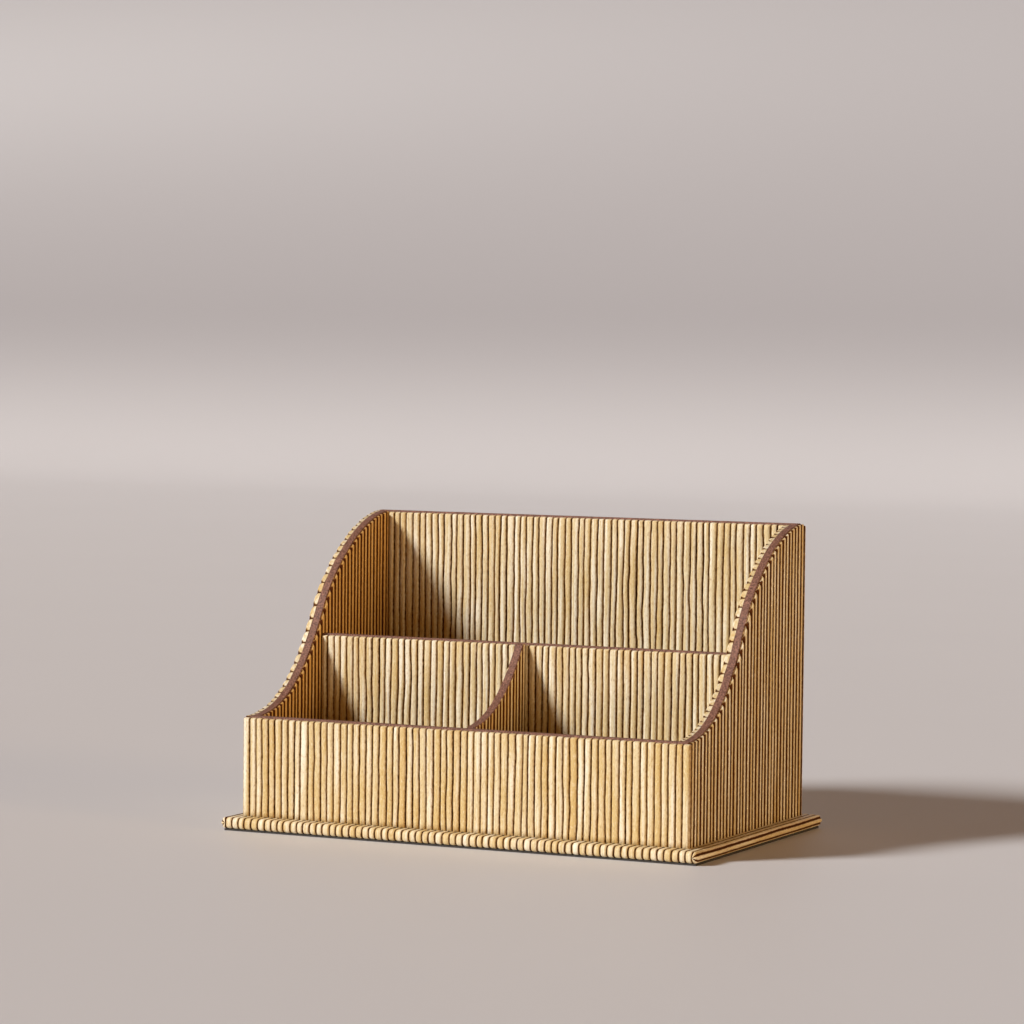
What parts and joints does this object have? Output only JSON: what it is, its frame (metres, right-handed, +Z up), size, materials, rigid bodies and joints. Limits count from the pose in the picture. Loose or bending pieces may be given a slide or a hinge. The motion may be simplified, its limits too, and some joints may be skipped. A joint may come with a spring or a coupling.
{
  "type": "desk organizer",
  "caption": "Reed-covered desk organizer: an open box with a low front, a high back, S-curved sides and two dividers, on a wider base.",
  "frame": {"origin": "middle of the underside of the base pad", "axes": "+X to the right across the front, +Y to the back, +Z up"},
  "size_m": [0.305, 0.192, 0.1826],
  "materials": {
    "reed": "satin, pale straw to golden, darker in the grooves",
    "board": "matt brown stained board",
    "band": "matt reddish brown, fine grain",
    "pad": "matt near-black sheet",
    "steel": "plain zinc-plated steel"
  },
  "bodies": {
    "root": {"base_reed_mat": "reed", "base_left_reeds": "reed", "base_right_reeds": "reed", "front_outer_reeds": "reed", "front_inner_reeds": "reed", "back_outer_reeds": "reed", "back_inner_reeds": "reed", "left_outer_reeds": "reed", "left_inner_reeds": "reed", "right_outer_reeds": "reed", "right_inner_reeds": "reed", "divider_front_reeds": "reed", "divider_rear_reeds": "reed", "cross_left_reeds": "reed", "cross_right_reeds": "reed", "base_board": "board", "front_panel": "board", "back_panel": "board", "left_side": "board", "right_side": "board", "long_divider": "board", "cross_divider": "board", "front_edge_band": "band", "back_edge_band": "band", "left_edge_band": "band", "right_edge_band": "band", "long_divider_band": "band", "cross_divider_band": "band", "underside_pad": "pad", "base_screws": "steel", "carcass_brads": "steel"}
  },
  "joints": []
}
